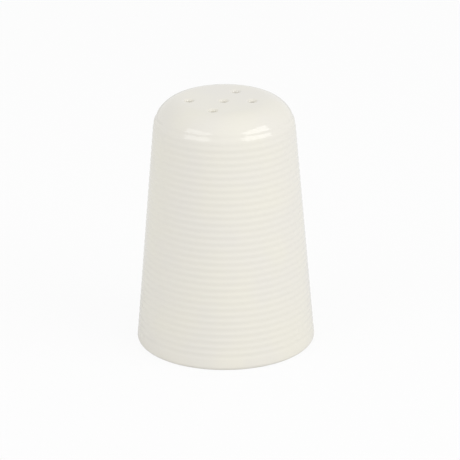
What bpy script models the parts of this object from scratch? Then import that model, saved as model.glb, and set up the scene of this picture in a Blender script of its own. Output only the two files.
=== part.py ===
"""Pepper shaker: a one-piece glazed ceramic body with ringed walls, and a soft plastic stopper in its base.

Metres, +Z up. The origin is the middle of the foot, on the surface that the shaker stands on, and the
photographed side faces -Y. The body stays put and the stopper pulls straight down out of it.
"""

import math

import bmesh
import bpy
from mathutils import Vector

MM = 0.001

# Outside of the body: a straight tapered wall, a round shoulder and a flat crown
HEIGHT = 80.0 * MM
BASE_RADIUS = 28.3 * MM  # of the wall's line, carried down to the table
CROWN_RADIUS = 21.5 * MM  # of the same line, carried up to the full height
SHOULDER = 9.9 * MM  # rounding between wall and crown
FOOT_EDGE = 1.3 * MM  # rounding where the wall turns under

# Turned rings in the wall
RING_PITCH = 2.1 * MM
RING_DEPTH = 0.12 * MM
LOWEST_GROOVE = 4.5 * MM  # height above the table

# Wide groove that parts the rings from the smooth shoulder
NECK_DROP = 5.75 * MM  # below the crown
NECK_WIDTH = 2.1 * MM
NECK_DEPTH = 0.16 * MM
NECK_BAND = 0.4 * MM  # left plain, at least, between it and the highest ring

# Thickness of the ceramic
WALL = 4.0 * MM
CROWN_WALL = 4.2 * MM
FLOOR = 4.4 * MM
FLOOR_CORNER = 4.0 * MM  # rounding inside, between floor and wall
LEAST_ROUNDING = 0.5 * MM  # of the shoulder inside, where the wall is thick

# Foot: a flat ring to stand on, round a recess that keeps the stopper off the table
FOOT_WIDTH = 4.4 * MM
FOOT_RECESS = 3.6 * MM
RECESS_CORNER = 1.8 * MM

# Filling hole in the floor
FILL_RADIUS = 11.5 * MM
FILL_EDGE = 0.8 * MM

# Sprinkling holes, punched by hand: one near the axis and four unevenly round it
SPRINKLE_RADIUS = 1.1 * MM
SPRINKLE_RIM = 0.7 * MM  # how far the rim opens out, and how deep it starts
MIDDLE_HOLE = (-0.2 * MM, -2.3 * MM)
OUTER_HOLES = (  # distance from the middle hole, and degrees from +X
    (8.9 * MM, -1.5),
    (9.9 * MM, 67.7),
    (10.7 * MM, 176.8),
    (9.7 * MM, 250.2),
)

# Stopper: a hollow flanged plug with sealing rings and a web to pull it by
FIT_GAP = 0.3 * MM  # between stopper and ceramic
FLANGE_OVERLAP = 3.5 * MM  # past the edge of the filling hole
FLANGE = 1.5 * MM
PLUG_REACH = 4.0 * MM  # how far the plug stands above the floor
PLUG_WALL = 1.6 * MM
PLUG_END = 1.5 * MM
PLUG_LEAD = 1.0 * MM  # chamfer that leads the plug into its hole
SEAL_COUNT = 3
SEAL_HEIGHT = 0.5 * MM
SEAL_WIDTH = 1.2 * MM
WEB = 2.2 * MM
WEB_SETBACK = 0.6 * MM  # from the flange's face to the web's edge
WEB_BEAD = 0.7 * MM  # how far the bead that the nails catch stands out from the web
WEB_ROOT = 0.6 * MM  # how far the web runs into the plug's wall and end

# Facets
SIDES = 40
HOLE_SIDES = 16
BEAD_STEPS = 12
ARC_STEPS = 4
SHARP_ANGLE = 11.0  # degrees: edges sharper than this stay crisp, ring crests among them

# Worked out from the sizes above
WALL_SLOPE = (CROWN_RADIUS - BASE_RADIUS) / HEIGHT
WALL_STRETCH = math.hypot(1.0, WALL_SLOPE)
WALL_NORMAL = math.atan(-WALL_SLOPE)  # how far the wall's outward normal points up
NECK_TOP = HEIGHT - NECK_DROP + NECK_WIDTH / 2
NECK_BOTTOM = HEIGHT - NECK_DROP - NECK_WIDTH / 2
FLOOR_TOP = FOOT_RECESS + FLOOR
SEAT = FOOT_RECESS - FIT_GAP  # height of the flange's upper face, which is the stopper's own origin
PLUG_LENGTH = FLOOR_TOP + PLUG_REACH - SEAT
SEAL_RADIUS = FILL_RADIUS - FIT_GAP
PLUG_RADIUS = SEAL_RADIUS - SEAL_HEIGHT
CUP_RADIUS = PLUG_RADIUS - PLUG_WALL
CUP_DEPTH = PLUG_LENGTH - PLUG_END  # above the seat


def clear_scene():
    for thing in list(bpy.data.objects):
        bpy.data.objects.remove(thing)


def arc(centre, radius, start, end, steps=ARC_STEPS):
    """Points (r, z) along an arc, both ends included. Angles are in radians, from outwards towards up."""
    angles = [start + (end - start) * i / steps for i in range(steps + 1)]
    return [(centre[0] + radius * math.cos(a), centre[1] + radius * math.sin(a)) for a in angles]


def wall_radius(height, inset=0.0):
    """Radius of the wall's line at a height, moved in square to itself by inset."""
    return BASE_RADIUS + WALL_SLOPE * height - inset * WALL_STRETCH


def shoulder_centre(top, inset, rounding):
    """Middle of the arc that is tangent to the wall's line and to a level crown."""
    height = top - rounding
    return wall_radius(height, inset + rounding), height


def crown_points(top, inset, rounding, lowest_angle):
    """Outline from the axis across the crown and down the shoulder to lowest_angle."""
    centre = shoulder_centre(top, inset, rounding)
    return [(0.0, top)] + arc(centre, rounding, math.pi / 2, lowest_angle, 2 * ARC_STEPS)


def corner_points(floor, inset, rounding):
    """Rounded outline from a level floor out and up to the wall's line."""
    height = floor + rounding
    centre = (wall_radius(height, inset + rounding), height)
    return arc(centre, rounding, -math.pi / 2, WALL_NORMAL)


def outside_angle(height):
    """How far the body's smooth outside points up at a height, as an angle."""
    centre = shoulder_centre(HEIGHT, 0.0, SHOULDER)
    lift = (height - centre[1]) / SHOULDER
    return max(WALL_NORMAL, math.asin(max(-1.0, lift)))


def outside_point(height, depth=0.0):
    """Point of the body's smooth outside at a height, sunk square to the surface by depth."""
    angle = outside_angle(height)
    radius = wall_radius(height)
    if angle > WALL_NORMAL:
        radius = shoulder_centre(HEIGHT, 0.0, SHOULDER)[0] + SHOULDER * math.cos(angle)
    return radius - depth * math.cos(angle), height - depth * math.sin(angle)


def groove_heights():
    """Heights of the grooves between the rings, from the highest down."""
    room = NECK_BOTTOM - NECK_BAND - RING_PITCH / 2 - LOWEST_GROOVE
    count = int(room / RING_PITCH) + 1
    return [LOWEST_GROOVE + RING_PITCH * i for i in reversed(range(count))]


def neck_points():
    """The groove under the shoulder, from its upper edge down to its lower one."""
    return [outside_point(NECK_TOP), outside_point(HEIGHT - NECK_DROP, NECK_DEPTH), outside_point(NECK_BOTTOM)]


def ring_points():
    """Grooves and crests of the turned rings, from the top down, with a crest at either end."""
    heights = groove_heights()
    points = [outside_point(heights[0] + RING_PITCH / 2)]
    for height in heights:
        points.append(outside_point(height, RING_DEPTH))
        points.append(outside_point(height - RING_PITCH / 2))
    return points


def foot_points():
    """Outline of the foot and the recess inside it, from the wall's foot in to the recess's ceiling."""
    edge = corner_points(0.0, 0.0, FOOT_EDGE)[::-1]
    ring_inside = edge[-1][0] - FOOT_WIDTH
    corner = (ring_inside - RECESS_CORNER, FOOT_RECESS - RECESS_CORNER)
    return edge + [(ring_inside, 0.0)] + arc(corner, RECESS_CORNER, 0.0, math.pi / 2)


def fill_points():
    """Outline of the filling hole with its rounded edges, from the recess up to the floor."""
    middle = FILL_RADIUS + FILL_EDGE
    below = arc((middle, FOOT_RECESS + FILL_EDGE), FILL_EDGE, 1.5 * math.pi, math.pi, 2)
    above = arc((middle, FLOOR_TOP - FILL_EDGE), FILL_EDGE, math.pi, 0.5 * math.pi, 2)
    return below + above


def inside_points():
    """Outline of the cavity, from the floor out to the wall and up it to the axis under the crown."""
    rounding = max(SHOULDER - WALL, LEAST_ROUNDING)
    ceiling = crown_points(HEIGHT - CROWN_WALL, WALL, rounding, WALL_NORMAL)
    return corner_points(FLOOR_TOP, WALL, FLOOR_CORNER) + ceiling[::-1]


def body_outline():
    """The body's section, from the top of the crown down the outside, round the foot and back up inside."""
    crown = crown_points(HEIGHT, 0.0, SHOULDER, outside_angle(NECK_TOP))[:-1]
    outside = crown + neck_points() + ring_points()
    return outside + foot_points() + fill_points() + inside_points()


def seal_points():
    """Sealing rings on the plug, evenly spread from its chamfer down to the flange."""
    top = PLUG_LENGTH - PLUG_LEAD
    step = top / SEAL_COUNT
    points = []
    for i in range(SEAL_COUNT):
        middle = top - step * (i + 0.5)
        points.append((PLUG_RADIUS, middle + SEAL_WIDTH / 2))
        points.append((SEAL_RADIUS, middle))
        points.append((PLUG_RADIUS, middle - SEAL_WIDTH / 2))
    return points


def stopper_outline():
    """The stopper's section, from the plug's closed end down the outside and up into the cup."""
    chamfer = [(PLUG_RADIUS - PLUG_LEAD, PLUG_LENGTH), (PLUG_RADIUS, PLUG_LENGTH - PLUG_LEAD)]
    rounding = FLANGE / 2
    rim = (FILL_RADIUS + FLANGE_OVERLAP - rounding, -rounding)
    flange = [(PLUG_RADIUS, 0.0)] + arc(rim, rounding, math.pi / 2, -math.pi / 2)
    cup = [(CUP_RADIUS, -FLANGE), (CUP_RADIUS, CUP_DEPTH), (0.0, CUP_DEPTH)]
    return [(0.0, PLUG_LENGTH)] + chamfer + seal_points() + flange + cup


def sprinkle_places():
    """Where the sprinkling holes are, as (x, y)."""
    middle = Vector(MIDDLE_HOLE)
    places = [middle]
    for reach, bearing in OUTER_HOLES:
        angle = math.radians(bearing)
        places.append(middle + reach * Vector((math.cos(angle), math.sin(angle))))
    return places


def crown_height(radius):
    """Height of the outside at a radius, on the crown or the shoulder."""
    centre = shoulder_centre(HEIGHT, 0.0, SHOULDER)
    across = min(max(radius - centre[0], 0.0), SHOULDER)
    return centre[1] + math.sqrt(SHOULDER**2 - across**2)


def turn_profile(bm, outline, sides, middle=(0.0, 0.0)):
    """Adds the solid that an outline (r, z) makes when it is turned about an upright axis."""
    start = [bm.verts.new((middle[0] + r, middle[1], z)) for r, z in outline]
    edges = [bm.edges.new(pair) for pair in zip(start, start[1:])]
    bmesh.ops.spin(
        bm,
        geom=start + edges,
        cent=(middle[0], middle[1], 0.0),
        axis=(0.0, 0.0, 1.0),
        angle=math.tau,
        steps=sides,
        use_merge=True,
    )
    bmesh.ops.remove_doubles(bm, verts=bm.verts[:], dist=0.001 * MM)
    bmesh.ops.recalc_face_normals(bm, faces=bm.faces[:])


def add_object(name, bm, material):
    """Makes a bmesh into a named object that is shaded smooth, but for its crisp edges."""
    mesh = bpy.data.meshes.new(name)
    bm.to_mesh(mesh)
    bm.free()
    mesh.shade_smooth()
    mesh.set_sharp_from_angle(angle=math.radians(SHARP_ANGLE))
    mesh.materials.append(material)
    thing = bpy.data.objects.new(name, mesh)
    bpy.context.scene.collection.objects.link(thing)
    return thing


def combine(thing, helper, operation):
    """Cuts a helper shape from an object, or joins it on, and keeps the helper itself out of sight."""
    helper.parent = thing
    helper.hide_render = True
    helper.display_type = "WIRE"
    step = thing.modifiers.new(helper.name, "BOOLEAN")
    step.operation = operation
    step.object = helper


def plain_material(name, colour, roughness):
    material = bpy.data.materials.new(name)
    material.use_nodes = True
    shader = material.node_tree.nodes["Principled BSDF"]
    shader.inputs["Base Color"].default_value = (*colour, 1.0)
    shader.inputs["Roughness"].default_value = roughness
    shader.inputs["Metallic"].default_value = 0.0
    return material


def sprinkle_drills(material):
    """One cutter for all the sprinkling holes: at each place a straight drill under a flared rim."""
    bm = bmesh.new()
    for place in sprinkle_places():
        top = crown_height(place.length)
        above = top + SPRINKLE_RIM
        below = HEIGHT - CROWN_WALL - SHOULDER
        drill = [
            (0.0, above),
            (SPRINKLE_RADIUS + 2 * SPRINKLE_RIM, above),
            (SPRINKLE_RADIUS, top - SPRINKLE_RIM),
            (SPRINKLE_RADIUS, below),
            (0.0, below),
        ]
        turn_profile(bm, drill, HOLE_SIDES, place)
    return add_object("sprinkle_drills", bm, material)


def pull_web(material):
    """The web across the stopper's cup: a flat wall with a round bead along its lower edge."""
    bm = bmesh.new()
    bead = WEB / 2 + WEB_BEAD
    bead_height = WEB_SETBACK - FLANGE + bead
    neck = math.asin(WEB / 2 / bead)
    half_length = CUP_RADIUS + WEB_ROOT
    top = CUP_DEPTH + WEB_ROOT
    section = arc((0.0, bead_height), bead, math.pi / 2 - neck, neck - 1.5 * math.pi, BEAD_STEPS)
    section += [(-WEB / 2, top), (WEB / 2, top)]
    face = bm.faces.new([bm.verts.new((-half_length, y, z)) for y, z in section])
    pulled = bmesh.ops.extrude_face_region(bm, geom=[face])
    far_end = [item for item in pulled["geom"] if isinstance(item, bmesh.types.BMVert)]
    bmesh.ops.translate(bm, verts=far_end, vec=(2 * half_length, 0.0, 0.0))
    bmesh.ops.recalc_face_normals(bm, faces=bm.faces[:])
    return add_object("pull_web", bm, material)


def make_body():
    glaze = plain_material("ivory_glaze", (0.79, 0.765, 0.70), 0.12)
    bm = bmesh.new()
    turn_profile(bm, body_outline(), SIDES)
    body = add_object("shaker_body", bm, glaze)
    combine(body, sprinkle_drills(glaze), "DIFFERENCE")
    return body


def make_stopper():
    """The stopper, modelled about its seat, so that its origin lies on the line it is pulled along."""
    plastic = plain_material("soft_plastic", (0.80, 0.80, 0.77), 0.45)
    bm = bmesh.new()
    turn_profile(bm, stopper_outline(), SIDES)
    stopper = add_object("base_stopper", bm, plastic)
    combine(stopper, pull_web(plastic), "UNION")
    return stopper


def main():
    clear_scene()
    body = make_body()
    stopper = make_stopper()
    stopper.parent = body
    stopper.location.z = SEAT


main()
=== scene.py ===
"""Looks of a pepper shaker: glazed china with fine turned rings, and a soft plastic stopper in its base.

Metres, +Z up, in the frame's own place: the shaker stands on z = 0 and its photographed side faces -Y.
The body and the stopper are turned again here, finer than the solids that they stand for, with rounded
rings and edges.
"""

import math

import bmesh
import bpy
from mathutils import Matrix, Quaternion, Vector


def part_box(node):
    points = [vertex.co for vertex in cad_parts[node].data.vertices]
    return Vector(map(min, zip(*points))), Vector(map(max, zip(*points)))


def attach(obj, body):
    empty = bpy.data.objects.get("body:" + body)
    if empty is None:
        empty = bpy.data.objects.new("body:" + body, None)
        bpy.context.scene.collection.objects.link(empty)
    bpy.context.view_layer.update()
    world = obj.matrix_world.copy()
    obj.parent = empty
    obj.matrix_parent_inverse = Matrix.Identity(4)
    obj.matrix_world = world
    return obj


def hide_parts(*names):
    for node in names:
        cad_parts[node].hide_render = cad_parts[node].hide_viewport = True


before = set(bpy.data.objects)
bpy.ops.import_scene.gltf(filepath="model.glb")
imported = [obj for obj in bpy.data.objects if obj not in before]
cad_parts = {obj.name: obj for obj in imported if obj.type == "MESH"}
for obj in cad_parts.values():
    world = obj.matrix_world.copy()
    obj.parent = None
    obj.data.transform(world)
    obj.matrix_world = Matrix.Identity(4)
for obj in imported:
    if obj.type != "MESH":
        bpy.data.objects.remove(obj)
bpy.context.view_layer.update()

MM = 0.001

# Body, outside
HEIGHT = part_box("shaker_body")[1].z
BASE_RADIUS = 28.3 * MM  # of the wall's line, carried down to the table
CROWN_RADIUS = 21.5 * MM  # of the same line, carried up to the full height
SHOULDER = 9.9 * MM  # rounding between wall and crown
FOOT_EDGE = 1.3 * MM  # rounding where the wall turns under

# Turned rings in the wall
RING_PITCH = 2.1 * MM
RING_DEPTH = 0.12 * MM
LOWEST_GROOVE = 4.5 * MM  # height above the table
RING_COUNT = 33

# Groove where the rings end and the smooth shoulder starts
NECK_GROOVE = 74.25 * MM  # height above the table
NECK_WIDTH = 2.1 * MM
NECK_DEPTH = 0.16 * MM

# Body, underneath and inside
WALL = 4.0 * MM  # thickness, as the next two are
CROWN_WALL = 4.2 * MM
FLOOR = 4.4 * MM
FLOOR_CORNER = 4.0 * MM  # rounding inside, between floor and wall
FOOT_WIDTH = 4.4 * MM
FOOT_INNER_EDGE = 0.4 * MM
FOOT_FACE = 0.1 * MM  # faces lower than this are the ring that it stands on
FOOT_RECESS = 3.6 * MM
RECESS_CORNER = 1.8 * MM
FILL_RADIUS = 11.5 * MM
FILL_EDGE = 0.8 * MM

# Sprinkling holes, punched by hand: one near the axis and four unevenly round it
SPRINKLE_RADIUS = 1.1 * MM
SPRINKLE_RIM = 1.0 * MM  # rounding of each hole's rim
RIM_STOP = 80.0  # degrees of that rounding, which ends just short of level
MIDDLE_HOLE = (-0.2 * MM, -2.3 * MM)
OUTER_HOLES = (  # distance from the middle hole, and degrees from +X
    (8.9 * MM, -1.5),
    (9.9 * MM, 67.7),
    (10.7 * MM, 176.8),
    (9.7 * MM, 250.2),
)

# Stopper, measured from its seat: the upper face of its flange, just under the floor
FLANGE = 1.5 * MM
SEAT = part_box("base_stopper")[0].z + FLANGE
FLANGE_RADIUS = 15.0 * MM
PLUG_RADIUS = 10.7 * MM
PLUG_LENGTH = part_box("base_stopper")[1].z - SEAT
PLUG_LEAD = 1.0 * MM  # rounding that leads the plug into its hole
PLUG_WALL = 1.6 * MM
PLUG_END = 1.5 * MM
SEAL_COUNT = 3
SEAL_HEIGHT = 0.5 * MM
SEAL_WIDTH = 1.2 * MM
MOULD_EDGE = 0.3 * MM  # rounding of the moulded edges
CUP_CORNER = 0.8 * MM
GATE_RADIUS = 2.2 * MM  # dimple in the plug's end where the plastic was shot in
GATE_DEPTH = 0.3 * MM
WEB = 2.2 * MM
WEB_SETBACK = 0.6 * MM  # from the flange's lower face up to the web's edge
WEB_BEAD = 0.7 * MM  # how far the bead that the nails catch stands out from the web
WEB_ROOT = 0.6 * MM  # how far the web runs into the plug's wall and end

# Finishes: colours, and the sizes and depths of their patterns
GLAZE_TONES = ("#E5E2DA", "#E7E4D9")
GLAZE_CLOUD = 16.0 * MM
GLAZE_RIPPLE = 2.4 * MM
GLAZE_RIPPLE_DEPTH = 0.006 * MM
GLAZE_ROUGHNESS = (0.06, 0.09)
BISQUE_TONES = ("#D3CCBF", "#E2DCD0")
BISQUE_GRAIN = 0.5 * MM  # coarser than real grit, so that it shows
BISQUE_GRAIN_DEPTH = 0.03 * MM
POLYTHENE_TONES = ("#E4E4DF", "#EAEAE6")
SPARK_TEXTURE = 0.35 * MM  # coarser than the real one, so that it shows
SPARK_TEXTURE_DEPTH = 0.02 * MM
GROUND_COLOUR = "#EDEDED"

# Fineness of the meshes: sides round an axis, and steps along each rounding
BODY_SIDES = 160
HOLE_SIDES = 48
STOPPER_SIDES = 96
CROWN_STEP = 0.5 * MM
SHOULDER_STEPS = 20
NECK_STEPS = 28
STEPS_PER_RING = 8
FOOT_STEPS = 10
FOOT_INNER_STEPS = 5
RECESS_STEPS = 8
FILL_STEPS = 6
FLOOR_CORNER_STEPS = 8
CEILING_STEPS = 12
RIM_STEPS = 8
LEAD_STEPS = 8
SEAL_STEPS = 8
MOULD_STEPS = 4
FLANGE_STEPS = 12
CUP_STEPS = 6
BEAD_STEPS = 24
SHARP_ANGLE = 40.0  # degrees: only real corners stay crisp
WELD = 0.001 * MM  # points closer than this are merged

# Camera, as the photograph was taken; its picture is square
CAMERA_DISTANCE = 918.5 * MM
CAMERA_ELEVATION = 20.95  # degrees
CAMERA_ROLL = -0.44  # degrees
CAMERA_AIM = Vector((0.0, 0.0, 40.0 * MM))
NEAREST_SEEN = 50.0 * MM
LENS = 228.2  # millimetres, on a sensor 36 mm wide
SHIFT = (0.0108, -0.0245)  # shares of the picture's width

# Light: an even sky, and a softbox in front on either side of the camera
# Lengths are in metres and angles in degrees, and a brightness of 1 is white
SKY_LIGHT = 0.68
SOFTBOX_DISTANCE = 1.4
SOFTBOX_ELEVATION = 32.0
SOFTBOX_HEIGHT = 0.80
RIGHT_SOFTBOX = {"bearing": 60.0, "width": 1.18, "brightness": 2.55}
LEFT_SOFTBOX = {"bearing": -50.0, "width": 1.0, "brightness": 1.75}
GROUND_SIZE = 3.0
GROUND_SEEN_THROUGH = 0.9  # share of the white behind the floor that the camera sees through it
GROUND_IN_GLOSS = 0.2  # the same share for reflections in the glaze

# Worked out from the sizes above
WALL_SLOPE = (CROWN_RADIUS - BASE_RADIUS) / HEIGHT
WALL_STRETCH = math.hypot(1.0, WALL_SLOPE)  # level distance for a distance of 1 square to the wall
WALL_NORMAL = math.atan(-WALL_SLOPE)  # how far the wall's face points up, in radians
HIGHEST_GROOVE = LOWEST_GROOVE + RING_PITCH * (RING_COUNT - 1)
RINGS_TOP = HIGHEST_GROOVE + RING_PITCH / 2
RINGS_BOTTOM = LOWEST_GROOVE - RING_PITCH / 2
NECK_TOP = NECK_GROOVE + NECK_WIDTH / 2
FLOOR_TOP = FOOT_RECESS + FLOOR
CUP_RADIUS = PLUG_RADIUS - PLUG_WALL
CUP_DEPTH = PLUG_LENGTH - PLUG_END


def arc(middle, radius, start, end, steps):
    """Points (r, z) along an arc, both ends included. Angles are in radians, from outwards towards up."""
    points = []
    for i in range(steps + 1):
        angle = start + (end - start) * i / steps
        points.append((middle[0] + radius * math.cos(angle), middle[1] + radius * math.sin(angle)))
    return points


def wall_radius(height, inset=0.0):
    """Radius of the wall's line at a height, moved in square to itself by inset."""
    return BASE_RADIUS + WALL_SLOPE * height - inset * WALL_STRETCH


def shoulder_middle(top, inset, rounding):
    """Middle of the arc that is tangent to the wall's line and to a level crown."""
    height = top - rounding
    return wall_radius(height, inset + rounding), height


def groove_depth(height):
    """How far a groove sinks the outside at a height: fully in its middle, and not at all on a crest."""
    across = abs(height - NECK_GROOVE) / (NECK_WIDTH / 2)
    if across < 1.0:
        return NECK_DEPTH * (0.5 + 0.5 * math.cos(math.pi * across))
    if RINGS_BOTTOM <= height <= RINGS_TOP:
        return RING_DEPTH * (0.5 + 0.5 * math.cos(math.tau * (height - LOWEST_GROOVE) / RING_PITCH))
    return 0.0


def outside_angle(height):
    """How far the smooth outside points up at a height, as an angle."""
    middle = shoulder_middle(HEIGHT, 0.0, SHOULDER)
    return max(WALL_NORMAL, math.asin(max(-1.0, (height - middle[1]) / SHOULDER)))


def grooved_point(height):
    """Point of the outside at a height, sunk square to the surface where a groove runs."""
    angle = outside_angle(height)
    depth = groove_depth(height)
    radius = wall_radius(height)
    if angle > WALL_NORMAL:
        radius = shoulder_middle(HEIGHT, 0.0, SHOULDER)[0] + SHOULDER * math.cos(angle)
    return radius - depth * math.cos(angle), height - depth * math.sin(angle)


def crown_outline():
    """From the axis across the level crown and down the shoulder to the neck groove."""
    middle = shoulder_middle(HEIGHT, 0.0, SHOULDER)
    count = round(middle[0] / CROWN_STEP)
    level = [(middle[0] * i / count, HEIGHT) for i in range(count)]
    return level + arc(middle, SHOULDER, math.pi / 2, outside_angle(NECK_TOP), SHOULDER_STEPS)[:-1]


def wall_outline():
    """Down over the neck groove and every ring."""
    band = NECK_TOP - RINGS_TOP
    neck = [NECK_TOP - band * i / NECK_STEPS for i in range(NECK_STEPS)]
    rings = [RINGS_TOP - RING_PITCH * i / STEPS_PER_RING for i in range(RING_COUNT * STEPS_PER_RING + 1)]
    return [grooved_point(height) for height in neck + rings]


def foot_outline():
    """Round the foot, over the ring that it stands on and into the recess."""
    middle = (wall_radius(FOOT_EDGE, FOOT_EDGE), FOOT_EDGE)
    edge = arc(middle, FOOT_EDGE, WALL_NORMAL, -math.pi / 2, FOOT_STEPS)
    inside = edge[-1][0] - FOOT_WIDTH
    middle = (inside + FOOT_INNER_EDGE, FOOT_INNER_EDGE)
    rim = arc(middle, FOOT_INNER_EDGE, 1.5 * math.pi, math.pi, FOOT_INNER_STEPS)
    middle = (inside - RECESS_CORNER, FOOT_RECESS - RECESS_CORNER)
    corner = arc(middle, RECESS_CORNER, 0.0, math.pi / 2, RECESS_STEPS)
    return edge + rim + corner


def fill_outline():
    """Up through the filling hole, with its rounded edges."""
    radius = FILL_RADIUS + FILL_EDGE
    below = arc((radius, FOOT_RECESS + FILL_EDGE), FILL_EDGE, 1.5 * math.pi, math.pi, FILL_STEPS)
    above = arc((radius, FLOOR_TOP - FILL_EDGE), FILL_EDGE, math.pi, 0.5 * math.pi, FILL_STEPS)
    return below + above


def inside_outline():
    """Over the floor, up the inner wall and in under the crown to the axis."""
    height = FLOOR_TOP + FLOOR_CORNER
    middle = (wall_radius(height, WALL + FLOOR_CORNER), height)
    corner = arc(middle, FLOOR_CORNER, -math.pi / 2, WALL_NORMAL, FLOOR_CORNER_STEPS)
    rounding = SHOULDER - WALL
    ceiling = HEIGHT - CROWN_WALL
    middle = shoulder_middle(ceiling, WALL, rounding)
    shoulder = arc(middle, rounding, WALL_NORMAL, math.pi / 2, CEILING_STEPS)
    return corner + shoulder + [(0.0, ceiling)]


def body_outline():
    """The whole section, from the middle of the crown down the outside and back up inside."""
    return crown_outline() + wall_outline() + foot_outline() + fill_outline() + inside_outline()


def seal_outline():
    """Rounded sealing rings on the plug, from its lead-in down to the flange."""
    top = PLUG_LENGTH - PLUG_LEAD
    step = top / SEAL_COUNT
    points = []
    for i in range(SEAL_COUNT):
        height = top - step * (i + 0.5)
        for j in range(SEAL_STEPS + 1):
            angle = math.pi * j / SEAL_STEPS
            swell = SEAL_HEIGHT * math.sin(angle) ** 2
            points.append((PLUG_RADIUS + swell, height + SEAL_WIDTH / 2 * math.cos(angle)))
    return points


def gate_outline():
    """From the axis over the nub and the dimple in the plug's end."""
    nub = GATE_RADIUS / 3
    slope = GATE_DEPTH
    return [
        (0.0, PLUG_LENGTH - GATE_DEPTH / 2),
        (nub, PLUG_LENGTH - GATE_DEPTH / 2),
        (nub + slope, PLUG_LENGTH - GATE_DEPTH),
        (GATE_RADIUS - slope, PLUG_LENGTH - GATE_DEPTH),
        (GATE_RADIUS, PLUG_LENGTH),
    ]


def stopper_outline():
    """The stopper's section, from the plug's closed end down the outside and up into the cup."""
    middle = (PLUG_RADIUS - PLUG_LEAD, PLUG_LENGTH - PLUG_LEAD)
    lead = arc(middle, PLUG_LEAD, math.pi / 2, 0.0, LEAD_STEPS)
    middle = (PLUG_RADIUS + MOULD_EDGE, MOULD_EDGE)
    root = arc(middle, MOULD_EDGE, math.pi, 1.5 * math.pi, MOULD_STEPS)
    middle = (FLANGE_RADIUS - FLANGE / 2, -FLANGE / 2)
    rim = arc(middle, FLANGE / 2, math.pi / 2, -math.pi / 2, FLANGE_STEPS)
    middle = (CUP_RADIUS + MOULD_EDGE, MOULD_EDGE - FLANGE)
    mouth = arc(middle, MOULD_EDGE, 1.5 * math.pi, math.pi, MOULD_STEPS)
    middle = (CUP_RADIUS - CUP_CORNER, CUP_DEPTH - CUP_CORNER)
    cup = arc(middle, CUP_CORNER, 0.0, math.pi / 2, CUP_STEPS) + [(0.0, CUP_DEPTH)]
    return gate_outline() + lead + seal_outline() + root + rim + mouth + cup


def turn_profile(bm, outline, sides, middle=(0.0, 0.0)):
    """Adds the closed shape that an outline (r, z) makes when it is turned about an upright axis."""
    start = [bm.verts.new((middle[0] + r, middle[1], z)) for r, z in outline]
    edges = [bm.edges.new(pair) for pair in zip(start, start[1:])]
    bmesh.ops.spin(
        bm,
        geom=start + edges,
        cent=(middle[0], middle[1], 0.0),
        axis=(0.0, 0.0, 1.0),
        angle=math.tau,
        steps=sides,
        use_merge=True,
    )
    bmesh.ops.remove_doubles(bm, verts=bm.verts[:], dist=WELD)
    bmesh.ops.recalc_face_normals(bm, faces=bm.faces[:])


def add_object(name, bm):
    """Makes a bmesh into a named object."""
    mesh = bpy.data.meshes.new(name)
    bm.to_mesh(mesh)
    bm.free()
    thing = bpy.data.objects.new(name, mesh)
    bpy.context.scene.collection.objects.link(thing)
    return thing


def combine(thing, helper, operation):
    """Cuts a helper shape from an object, or joins it on, for good."""
    step = thing.modifiers.new(helper.name, "BOOLEAN")
    step.operation = operation
    step.object = helper
    bm = bmesh.new()
    bm.from_object(thing, bpy.context.evaluated_depsgraph_get())
    bmesh.ops.remove_doubles(bm, verts=bm.verts[:], dist=WELD)
    thing.modifiers.clear()
    bm.to_mesh(thing.data)
    bm.free()
    bpy.data.objects.remove(helper)


def shade(thing):
    """Smooth shading, but for real corners."""
    thing.data.shade_smooth()
    thing.data.set_sharp_from_angle(angle=math.radians(SHARP_ANGLE))


def sprinkle_places():
    """Where the sprinkling holes are, as (x, y)."""
    middle = Vector(MIDDLE_HOLE)
    places = [middle]
    for reach, bearing in OUTER_HOLES:
        angle = math.radians(bearing)
        places.append(middle + reach * Vector((math.cos(angle), math.sin(angle))))
    return places


def sprinkle_drills():
    """One cutter for all the sprinkling holes: at each place a straight drill under a rounded rim."""
    bm = bmesh.new()
    stop = math.radians(RIM_STOP)
    middle = (SPRINKLE_RADIUS + SPRINKLE_RIM, HEIGHT - SPRINKLE_RIM)
    rim = arc(middle, SPRINKLE_RIM, math.pi - stop, math.pi, RIM_STEPS)
    above = HEIGHT + SPRINKLE_RIM
    flare = rim[0][0] + (above - rim[0][1]) / math.tan(math.pi / 2 - stop)
    below = HEIGHT - 2 * CROWN_WALL
    drill = [(0.0, above), (flare, above)] + rim + [(SPRINKLE_RADIUS, below), (0.0, below)]
    for place in sprinkle_places():
        turn_profile(bm, drill, HOLE_SIDES, place)
    return add_object("sprinkle_drills", bm)


def pull_web():
    """The web across the stopper's cup: a flat wall with a round bead along its lower edge."""
    bm = bmesh.new()
    bead = WEB / 2 + WEB_BEAD
    bead_height = WEB_SETBACK - FLANGE + bead
    neck = math.asin(WEB / 2 / bead)
    half_length = CUP_RADIUS + WEB_ROOT
    top = CUP_DEPTH + WEB_ROOT
    section = arc((0.0, bead_height), bead, math.pi / 2 - neck, neck - 1.5 * math.pi, BEAD_STEPS)
    section += [(-WEB / 2, top), (WEB / 2, top)]
    face = bm.faces.new([bm.verts.new((-half_length, y, z)) for y, z in section])
    pulled = bmesh.ops.extrude_face_region(bm, geom=[face])
    far_end = [item for item in pulled["geom"] if isinstance(item, bmesh.types.BMVert)]
    bmesh.ops.translate(bm, verts=far_end, vec=(2 * half_length, 0.0, 0.0))
    bmesh.ops.recalc_face_normals(bm, faces=bm.faces[:])
    return add_object("pull_web", bm)


def linear(hex_colour):
    """An sRGB hex colour as linear RGBA."""
    levels = [int(hex_colour[i:i + 2], 16) / 255 for i in (1, 3, 5)]
    return (*[v / 12.92 if v <= 0.04045 else ((v + 0.055) / 1.055) ** 2.4 for v in levels], 1.0)


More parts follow.
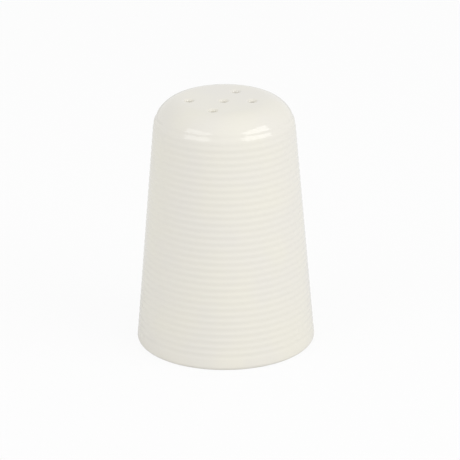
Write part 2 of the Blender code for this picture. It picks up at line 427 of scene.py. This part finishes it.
def add_node(tree, kind, inputs, **settings):
    """Adds a node with its settings; an input gets a plain value, or a link from another node's output."""
    made = tree.nodes.new(kind)
    for name, value in settings.items():
        setattr(made, name, value)
    for key, value in inputs.items():
        if isinstance(value, bpy.types.NodeSocket):
            tree.links.new(value, made.inputs[key])
        else:
            made.inputs[key].default_value = value
    return made


def empty_tree(owner):
    """The node tree of a material or a world, cleared of the nodes that it starts with."""
    owner.use_nodes = True
    owner.node_tree.nodes.clear()
    return owner.node_tree


def glazed_vitrified_china():
    """Ivory glaze, fired on: glossy, with faint clouds of tone and the slight ripple of melted glass."""
    material = bpy.data.materials.new("glazed_vitrified_china")
    tree = empty_tree(material)
    place = add_node(tree, "ShaderNodeTexCoord", {}).outputs["Object"]
    cloud = add_node(
        tree,
        "ShaderNodeTexNoise",
        {"Vector": place, "Scale": 1 / GLAZE_CLOUD, "Detail": 2.0, "Roughness": 0.5},
    )
    tone = add_node(tree, "ShaderNodeValToRGB", {"Fac": cloud.outputs["Fac"]})
    tone.color_ramp.elements[0].position = 0.35
    tone.color_ramp.elements[0].color = linear(GLAZE_TONES[0])
    tone.color_ramp.elements[1].position = 0.65
    tone.color_ramp.elements[1].color = linear(GLAZE_TONES[1])
    ripple = add_node(
        tree,
        "ShaderNodeTexNoise",
        {"Vector": place, "Scale": 1 / GLAZE_RIPPLE, "Detail": 1.0, "Roughness": 0.4},
    )
    bump = add_node(
        tree,
        "ShaderNodeBump",
        {"Height": ripple.outputs["Fac"], "Strength": 1.0, "Distance": GLAZE_RIPPLE_DEPTH},
    )
    gloss = add_node(
        tree,
        "ShaderNodeMapRange",
        {"Value": cloud.outputs["Fac"], "To Min": GLAZE_ROUGHNESS[0], "To Max": GLAZE_ROUGHNESS[1]},
    )
    shader = add_node(
        tree,
        "ShaderNodeBsdfPrincipled",
        {
            "Base Color": tone.outputs["Color"],
            "Roughness": gloss.outputs["Result"],
            "IOR": 1.48,
            "Normal": bump.outputs["Normal"],
        },
    )
    add_node(tree, "ShaderNodeOutputMaterial", {"Surface": shader.outputs["BSDF"]})
    return material


def unglazed_bisque():
    """The foot ring, wiped free of glaze before firing: dry, fine-grained and a shade duller."""
    material = bpy.data.materials.new("unglazed_bisque")
    tree = empty_tree(material)
    place = add_node(tree, "ShaderNodeTexCoord", {}).outputs["Object"]
    grain = add_node(
        tree,
        "ShaderNodeTexNoise",
        {"Vector": place, "Scale": 1 / BISQUE_GRAIN, "Detail": 3.0, "Roughness": 0.6},
    )
    tone = add_node(tree, "ShaderNodeValToRGB", {"Fac": grain.outputs["Fac"]})
    tone.color_ramp.elements[0].position = 0.3
    tone.color_ramp.elements[0].color = linear(BISQUE_TONES[0])
    tone.color_ramp.elements[1].position = 0.7
    tone.color_ramp.elements[1].color = linear(BISQUE_TONES[1])
    bump = add_node(
        tree,
        "ShaderNodeBump",
        {"Height": grain.outputs["Fac"], "Strength": 1.0, "Distance": BISQUE_GRAIN_DEPTH},
    )
    shader = add_node(
        tree,
        "ShaderNodeBsdfPrincipled",
        {
            "Base Color": tone.outputs["Color"],
            "Roughness": 0.85,
            "IOR": 1.5,
            "Normal": bump.outputs["Normal"],
        },
    )
    add_node(tree, "ShaderNodeOutputMaterial", {"Surface": shader.outputs["BSDF"]})
    return material


def moulded_polythene():
    """Soft white polythene, injection moulded: satin, waxy, with the mould's fine spark-eroded texture."""
    material = bpy.data.materials.new("moulded_polythene")
    tree = empty_tree(material)
    place = add_node(tree, "ShaderNodeTexCoord", {}).outputs["Object"]
    texture = add_node(
        tree,
        "ShaderNodeTexNoise",
        {"Vector": place, "Scale": 1 / SPARK_TEXTURE, "Detail": 2.0, "Roughness": 0.5},
    )
    tone = add_node(tree, "ShaderNodeValToRGB", {"Fac": texture.outputs["Fac"]})
    tone.color_ramp.elements[0].position = 0.3
    tone.color_ramp.elements[0].color = linear(POLYTHENE_TONES[0])
    tone.color_ramp.elements[1].position = 0.7
    tone.color_ramp.elements[1].color = linear(POLYTHENE_TONES[1])
    bump = add_node(
        tree,
        "ShaderNodeBump",
        {"Height": texture.outputs["Fac"], "Strength": 1.0, "Distance": SPARK_TEXTURE_DEPTH},
    )
    shader = add_node(
        tree,
        "ShaderNodeBsdfPrincipled",
        {
            "Base Color": tone.outputs["Color"],
            "Roughness": 0.42,
            "IOR": 1.51,
            "Normal": bump.outputs["Normal"],
        },
    )
    add_node(tree, "ShaderNodeOutputMaterial", {"Surface": shader.outputs["BSDF"]})
    return material


def pale_floor():
    """Pale floor that keeps the shadow: mostly the white behind it shows, and from below it is clear."""
    material = bpy.data.materials.new("pale_floor")
    tree = empty_tree(material)
    light_path = add_node(tree, "ShaderNodeLightPath", {})
    geometry = add_node(tree, "ShaderNodeNewGeometry", {})
    looked_at = add_node(
        tree,
        "ShaderNodeMath",
        {0: light_path.outputs["Is Camera Ray"], 1: light_path.outputs["Is Transmission Ray"]},
        operation="MAXIMUM",
    )
    seen_through = add_node(
        tree,
        "ShaderNodeMath",
        {0: looked_at.outputs[0], 1: GROUND_SEEN_THROUGH},
        operation="MULTIPLY",
    )
    mirrored = add_node(
        tree,
        "ShaderNodeMath",
        {0: light_path.outputs["Is Glossy Ray"], 1: GROUND_IN_GLOSS},
        operation="MULTIPLY",
    )
    whitened = add_node(
        tree,
        "ShaderNodeMath",
        {0: seen_through.outputs[0], 1: mirrored.outputs[0]},
        operation="MAXIMUM",
    )
    clear_share = add_node(
        tree,
        "ShaderNodeMath",
        {0: whitened.outputs[0], 1: geometry.outputs["Backfacing"]},
        operation="MAXIMUM",
    )
    solid = add_node(tree, "ShaderNodeBsdfDiffuse", {"Color": linear(GROUND_COLOUR)})
    clear = add_node(tree, "ShaderNodeBsdfTransparent", {})
    both = add_node(
        tree,
        "ShaderNodeMixShader",
        {0: clear_share.outputs[0], 1: solid.outputs[0], 2: clear.outputs[0]},
    )
    add_node(tree, "ShaderNodeOutputMaterial", {"Surface": both.outputs[0]})
    return material


def make_body():
    """The china body, glazed all over but for the foot ring."""
    bm = bmesh.new()
    turn_profile(bm, body_outline(), BODY_SIDES)
    body = add_object("china_body", bm)
    combine(body, sprinkle_drills(), "DIFFERENCE")
    shade(body)
    body.data.materials.append(glazed_vitrified_china())
    body.data.materials.append(unglazed_bisque())
    for face in body.data.polygons:
        face.material_index = 1 if face.center.z < FOOT_FACE else 0
    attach(body, "shaker")
    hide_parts("shaker_body")


def make_stopper():
    """The soft stopper, moved up to its seat in the filling hole."""
    bm = bmesh.new()
    turn_profile(bm, stopper_outline(), STOPPER_SIDES)
    stopper = add_object("soft_stopper", bm)
    combine(stopper, pull_web(), "UNION")
    stopper.data.transform(Matrix.Translation((0.0, 0.0, SEAT)))
    shade(stopper)
    stopper.data.materials.append(moulded_polythene())
    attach(stopper, "stopper")
    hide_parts("base_stopper")


def make_floor():
    """The pale ground that the shaker stands on."""
    bm = bmesh.new()
    bmesh.ops.create_grid(bm, x_segments=1, y_segments=1, size=GROUND_SIZE / 2)
    floor = add_object("floor", bm)
    floor.data.materials.append(pale_floor())


def direction(bearing, elevation):
    """Unit vector from the shaker; a bearing of 0 is towards the camera and 90 to its right."""
    turn = math.radians(bearing)
    rise = math.radians(elevation)
    return Vector((math.sin(turn) * math.cos(rise), -math.cos(turn) * math.cos(rise), math.sin(rise)))


def place_looking_at(thing, away, distance, aim):
    """Sets a lamp or camera at a distance from what it looks at."""
    thing.location = aim + away * distance
    thing.rotation_mode = "QUATERNION"
    thing.rotation_quaternion = (-away).to_track_quat("-Z", "Y")
    bpy.context.scene.collection.objects.link(thing)


def make_softbox(name, bearing, width, brightness):
    """A rectangular soft lamp that faces the shaker."""
    lamp = bpy.data.lights.new(name, "AREA")
    lamp.shape = "RECTANGLE"
    lamp.size = width
    lamp.size_y = SOFTBOX_HEIGHT
    lamp.energy = brightness * math.pi * width * SOFTBOX_HEIGHT
    away = direction(bearing, SOFTBOX_ELEVATION)
    place_looking_at(bpy.data.objects.new(name, lamp), away, SOFTBOX_DISTANCE, CAMERA_AIM)


def make_sky():
    """Even light from all round, which the camera, reflections and clear surfaces see as plain white."""
    world = bpy.data.worlds.new("studio")
    tree = empty_tree(world)
    light_path = add_node(tree, "ShaderNodeLightPath", {})
    seen = add_node(
        tree,
        "ShaderNodeMath",
        {0: light_path.outputs["Is Camera Ray"], 1: light_path.outputs["Is Glossy Ray"]},
        operation="MAXIMUM",
    )
    shown = add_node(
        tree,
        "ShaderNodeMath",
        {0: seen.outputs[0], 1: light_path.outputs["Is Transmission Ray"]},
        operation="MAXIMUM",
    )
    strength = add_node(
        tree,
        "ShaderNodeMapRange",
        {"Value": shown.outputs[0], "To Min": SKY_LIGHT, "To Max": 1.0},
    )
    white = add_node(
        tree,
        "ShaderNodeBackground",
        {"Color": (1.0, 1.0, 1.0, 1.0), "Strength": strength.outputs["Result"]},
    )
    add_node(tree, "ShaderNodeOutputWorld", {"Surface": white.outputs[0]})
    bpy.context.scene.world = world


def make_camera():
    """The camera, where the photograph was taken from."""
    lens = bpy.data.cameras.new("camera")
    lens.lens = LENS
    lens.shift_x, lens.shift_y = SHIFT
    lens.clip_start = NEAREST_SEEN
    camera = bpy.data.objects.new("camera", lens)
    place_looking_at(camera, direction(0.0, CAMERA_ELEVATION), CAMERA_DISTANCE, CAMERA_AIM)
    camera.rotation_quaternion @= Quaternion((0.0, 0.0, 1.0), math.radians(CAMERA_ROLL))
    bpy.context.scene.camera = camera


make_body()
make_stopper()
make_floor()
make_sky()
make_softbox("right_softbox", **RIGHT_SOFTBOX)
make_softbox("left_softbox", **LEFT_SOFTBOX)
make_camera()
bpy.context.scene.view_settings.view_transform = "Standard"
